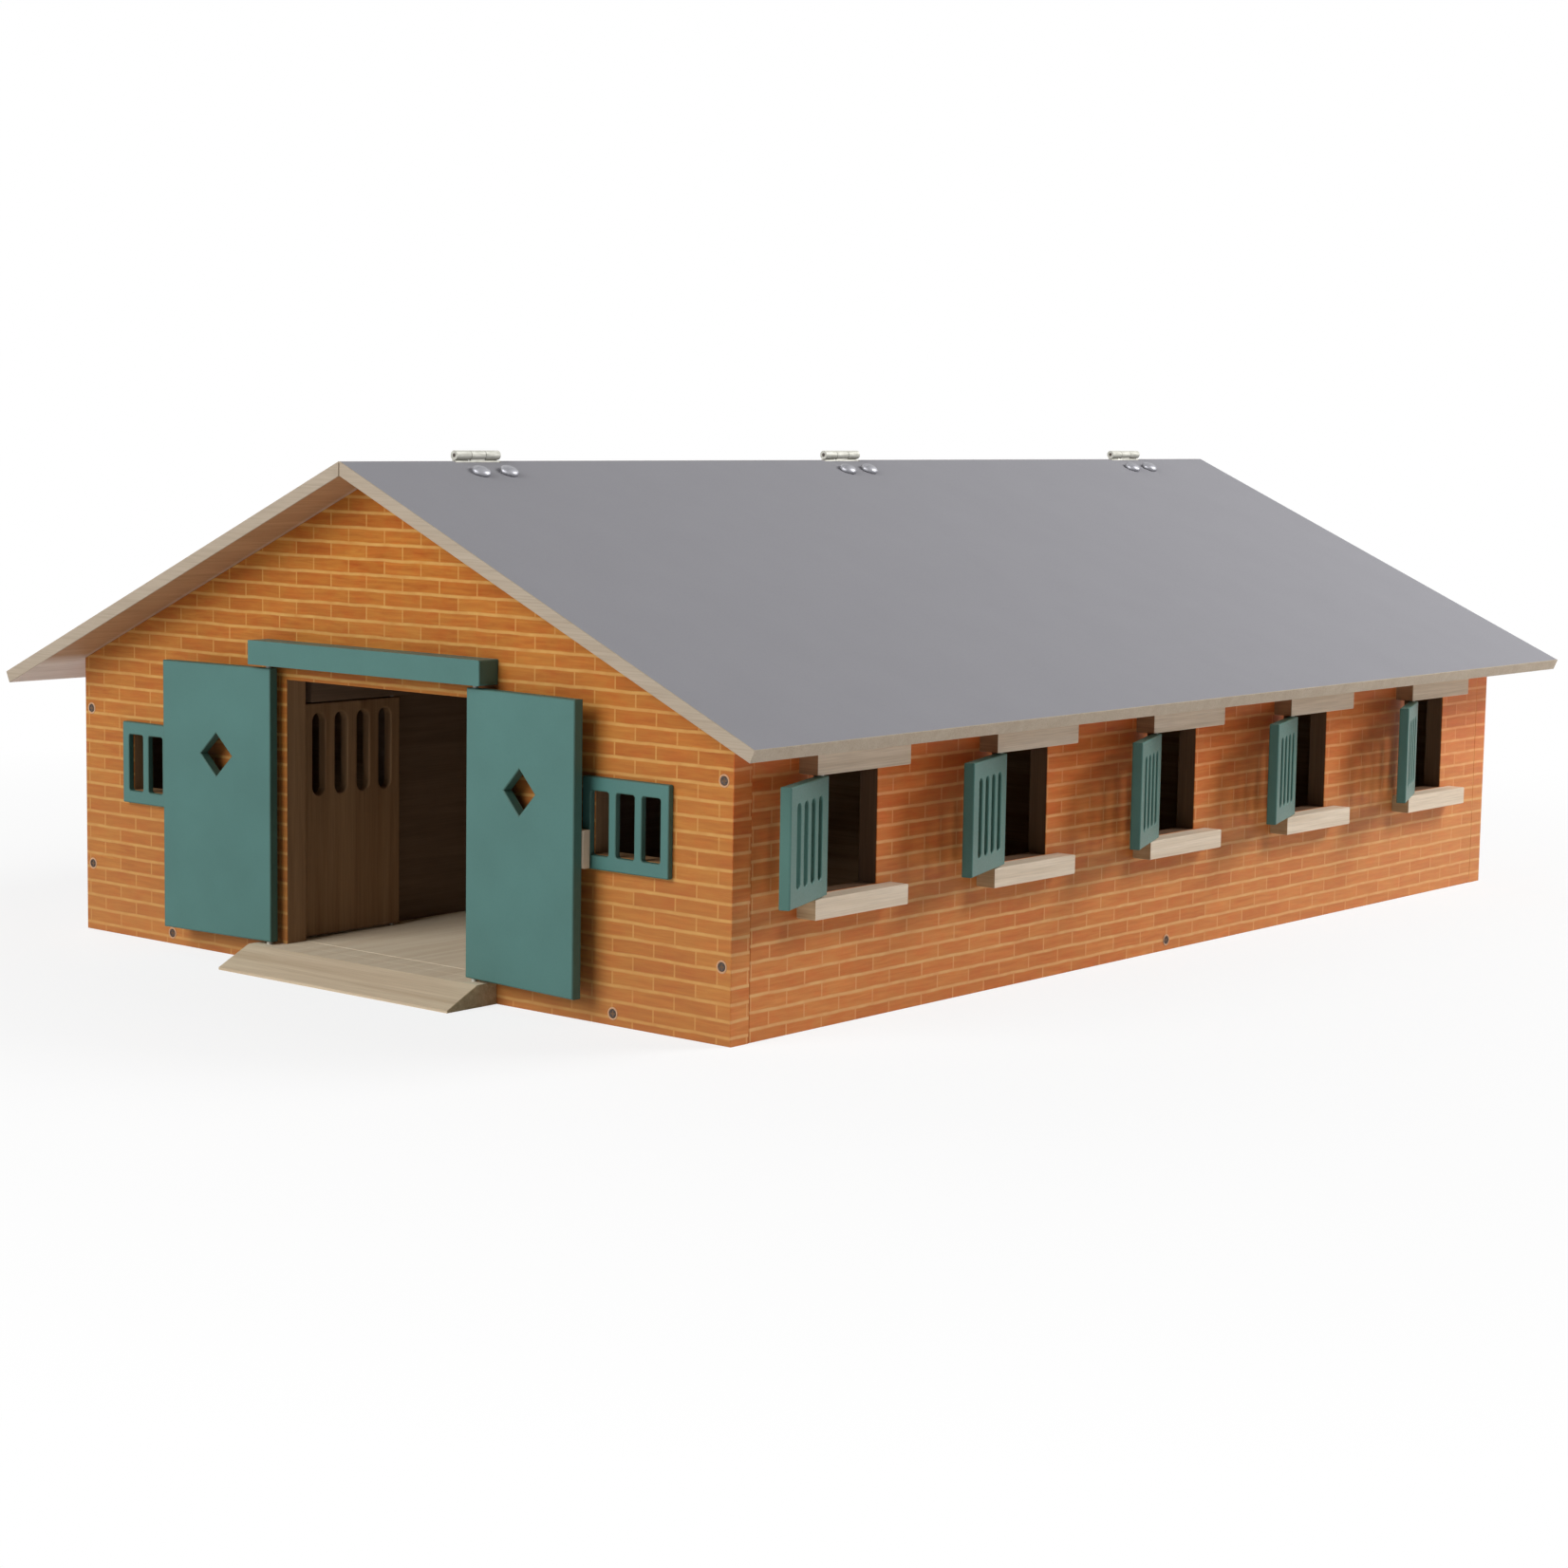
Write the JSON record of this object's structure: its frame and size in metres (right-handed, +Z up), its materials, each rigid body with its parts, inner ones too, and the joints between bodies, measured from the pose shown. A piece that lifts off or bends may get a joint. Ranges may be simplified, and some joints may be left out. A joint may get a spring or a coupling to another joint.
{
  "type": "toy stable",
  "caption": "Long wooden toy stable with brick-printed walls, green doors, slotted window shutters, stalls along an aisle and a grey pitched roof whose one half folds open.",
  "frame": {"origin": "on the ground at the middle of the four walls' plan", "axes": "+Z up, the entrance gable faces -Y, the roof half that opens is at +X"},
  "size_m": [0.482, 0.712, 0.2401],
  "materials": {
    "printed_board": "satin print of brick courses",
    "green_paint": "satin paint",
    "roof_paint": "matte paint",
    "plain_wood": "unpainted, sanded",
    "steel": "zinc plated"
  },
  "bodies": {
    "building": {"front_gable": "printed_board", "rear_gable": "printed_board", "left_wall": "printed_board", "right_wall": "printed_board", "left_roof_panel": "roof_paint", "base_floor": "plain_wood", "entrance_ramp": "plain_wood", "left_window_sills": "plain_wood", "right_window_sills": "plain_wood", "left_window_lintels": "plain_wood", "right_window_lintels": "plain_wood", "left_stall_battens": "plain_wood", "right_stall_battens": "plain_wood", "left_stall_front": "plain_wood", "right_stall_front": "plain_wood", "door_rail": "green_paint", "left_front_window": "green_paint", "right_front_window": "green_paint", "left_partition_1": "plain_wood", "left_partition_2": "plain_wood", "left_partition_3": "plain_wood", "left_partition_4": "plain_wood", "left_hinge_leaves": "steel", "right_partition_1": "plain_wood", "right_partition_2": "plain_wood", "right_partition_3": "plain_wood", "right_partition_4": "plain_wood", "ridge_hinge_pins": "steel", "door_pivot_rods": "steel", "shutter_pivot_rods": "steel", "stall_door_pivot_rods": "steel"},
    "left_door": {"left_door": "green_paint", "left_door_handle": "plain_wood"},
    "right_door": {"right_door": "green_paint", "right_door_handle": "plain_wood"},
    "left_shutter_1": {"left_shutter_1": "green_paint"},
    "left_shutter_2": {"left_shutter_2": "green_paint"},
    "left_shutter_3": {"left_shutter_3": "green_paint"},
    "left_shutter_4": {"left_shutter_4": "green_paint"},
    "left_shutter_5": {"left_shutter_5": "green_paint"},
    "left_stall_door_1": {"left_stall_door_1": "plain_wood"},
    "left_stall_door_2": {"left_stall_door_2": "plain_wood"},
    "left_stall_door_3": {"left_stall_door_3": "plain_wood"},
    "left_stall_door_4": {"left_stall_door_4": "plain_wood"},
    "left_stall_door_5": {"left_stall_door_5": "plain_wood"},
    "right_shutter_1": {"right_shutter_1": "green_paint"},
    "right_shutter_2": {"right_shutter_2": "green_paint"},
    "right_shutter_3": {"right_shutter_3": "green_paint"},
    "right_shutter_4": {"right_shutter_4": "green_paint"},
    "right_shutter_5": {"right_shutter_5": "green_paint"},
    "right_stall_door_1": {"right_stall_door_1": "plain_wood"},
    "right_stall_door_2": {"right_stall_door_2": "plain_wood"},
    "right_stall_door_3": {"right_stall_door_3": "plain_wood"},
    "right_stall_door_4": {"right_stall_door_4": "plain_wood"},
    "right_stall_door_5": {"right_stall_door_5": "plain_wood"},
    "right_roof": {"right_roof_panel": "roof_paint", "right_hinge_leaves": "steel"}
  },
  "joints": [
    {"name": "left_door_swing", "type": "hinge", "parent": "building", "child": "left_door", "pos_m": [-0.0674, -0.335, 0.0115], "axis": [0, 0, 1], "range_deg": [0, 175.4]},
    {"name": "right_door_swing", "type": "hinge", "parent": "building", "child": "right_door", "pos_m": [0.0674, -0.335, 0.0115], "axis": [0, 0, 1], "range_deg": [-175.4, 0]},
    {"name": "left_shutter_1_swing", "type": "hinge", "parent": "building", "child": "left_shutter_1", "pos_m": [-0.217, -0.2807, 0.0588], "axis": [0, 0, 1], "range_deg": [0, 182]},
    {"name": "left_shutter_2_swing", "type": "hinge", "parent": "building", "child": "left_shutter_2", "pos_m": [-0.217, -0.1531, 0.0588], "axis": [0, 0, 1], "range_deg": [0, 182]},
    {"name": "left_shutter_3_swing", "type": "hinge", "parent": "building", "child": "left_shutter_3", "pos_m": [-0.217, -0.0255, 0.0588], "axis": [0, 0, 1], "range_deg": [0, 182]},
    {"name": "left_shutter_4_swing", "type": "hinge", "parent": "building", "child": "left_shutter_4", "pos_m": [-0.217, 0.1021, 0.0588], "axis": [0, 0, 1], "range_deg": [0, 182]},
    {"name": "left_shutter_5_swing", "type": "hinge", "parent": "building", "child": "left_shutter_5", "pos_m": [-0.217, 0.2297, 0.0588], "axis": [0, 0, 1], "range_deg": [0, 182]},
    {"name": "right_shutter_1_swing", "type": "hinge", "parent": "building", "child": "right_shutter_1", "pos_m": [0.217, -0.2807, 0.0588], "axis": [0, 0, 1], "range_deg": [-22, 160]},
    {"name": "right_shutter_2_swing", "type": "hinge", "parent": "building", "child": "right_shutter_2", "pos_m": [0.217, -0.1531, 0.0588], "axis": [0, 0, 1], "range_deg": [-20, 162]},
    {"name": "right_shutter_3_swing", "type": "hinge", "parent": "building", "child": "right_shutter_3", "pos_m": [0.217, -0.0255, 0.0588], "axis": [0, 0, 1], "range_deg": [-24, 158]},
    {"name": "right_shutter_4_swing", "type": "hinge", "parent": "building", "child": "right_shutter_4", "pos_m": [0.217, 0.1021, 0.0588], "axis": [0, 0, 1], "range_deg": [-21, 161]},
    {"name": "right_shutter_5_swing", "type": "hinge", "parent": "building", "child": "right_shutter_5", "pos_m": [0.217, 0.2297, 0.0588], "axis": [0, 0, 1], "range_deg": [-24.5, 157.5]},
    {"name": "left_stall_door_1_swing", "type": "hinge", "parent": "building", "child": "left_stall_door_1", "pos_m": [-0.068, -0.257, 0.011], "axis": [0, 0, 1], "range_deg": [0, 175]},
    {"name": "left_stall_door_2_swing", "type": "hinge", "parent": "building", "child": "left_stall_door_2", "pos_m": [-0.068, -0.1294, 0.011], "axis": [0, 0, 1], "range_deg": [0, 175]},
    {"name": "left_stall_door_3_swing", "type": "hinge", "parent": "building", "child": "left_stall_door_3", "pos_m": [-0.068, -0.0018, 0.011], "axis": [0, 0, 1], "range_deg": [0, 175]},
    {"name": "left_stall_door_4_swing", "type": "hinge", "parent": "building", "child": "left_stall_door_4", "pos_m": [-0.068, 0.1258, 0.011], "axis": [0, 0, 1], "range_deg": [0, 175]},
    {"name": "left_stall_door_5_swing", "type": "hinge", "parent": "building", "child": "left_stall_door_5", "pos_m": [-0.068, 0.2534, 0.011], "axis": [0, 0, 1], "range_deg": [0, 175]},
    {"name": "right_stall_door_1_swing", "type": "hinge", "parent": "building", "child": "right_stall_door_1", "pos_m": [0.068, -0.257, 0.011], "axis": [0, 0, 1], "range_deg": [-175, 0]},
    {"name": "right_stall_door_2_swing", "type": "hinge", "parent": "building", "child": "right_stall_door_2", "pos_m": [0.068, -0.1294, 0.011], "axis": [0, 0, 1], "range_deg": [-175, 0]},
    {"name": "right_stall_door_3_swing", "type": "hinge", "parent": "building", "child": "right_stall_door_3", "pos_m": [0.068, -0.0018, 0.011], "axis": [0, 0, 1], "range_deg": [-175, 0]},
    {"name": "right_stall_door_4_swing", "type": "hinge", "parent": "building", "child": "right_stall_door_4", "pos_m": [0.068, 0.1258, 0.011], "axis": [0, 0, 1], "range_deg": [-175, 0]},
    {"name": "right_stall_door_5_swing", "type": "hinge", "parent": "building", "child": "right_stall_door_5", "pos_m": [0.068, 0.2534, 0.011], "axis": [0, 0, 1], "range_deg": [-175, 0]},
    {"name": "roof_fold", "type": "hinge", "parent": "building", "child": "right_roof", "pos_m": [0, 0, 0.23786], "axis": [0, -1, 0], "range_deg": [0, 215]}
  ]
}
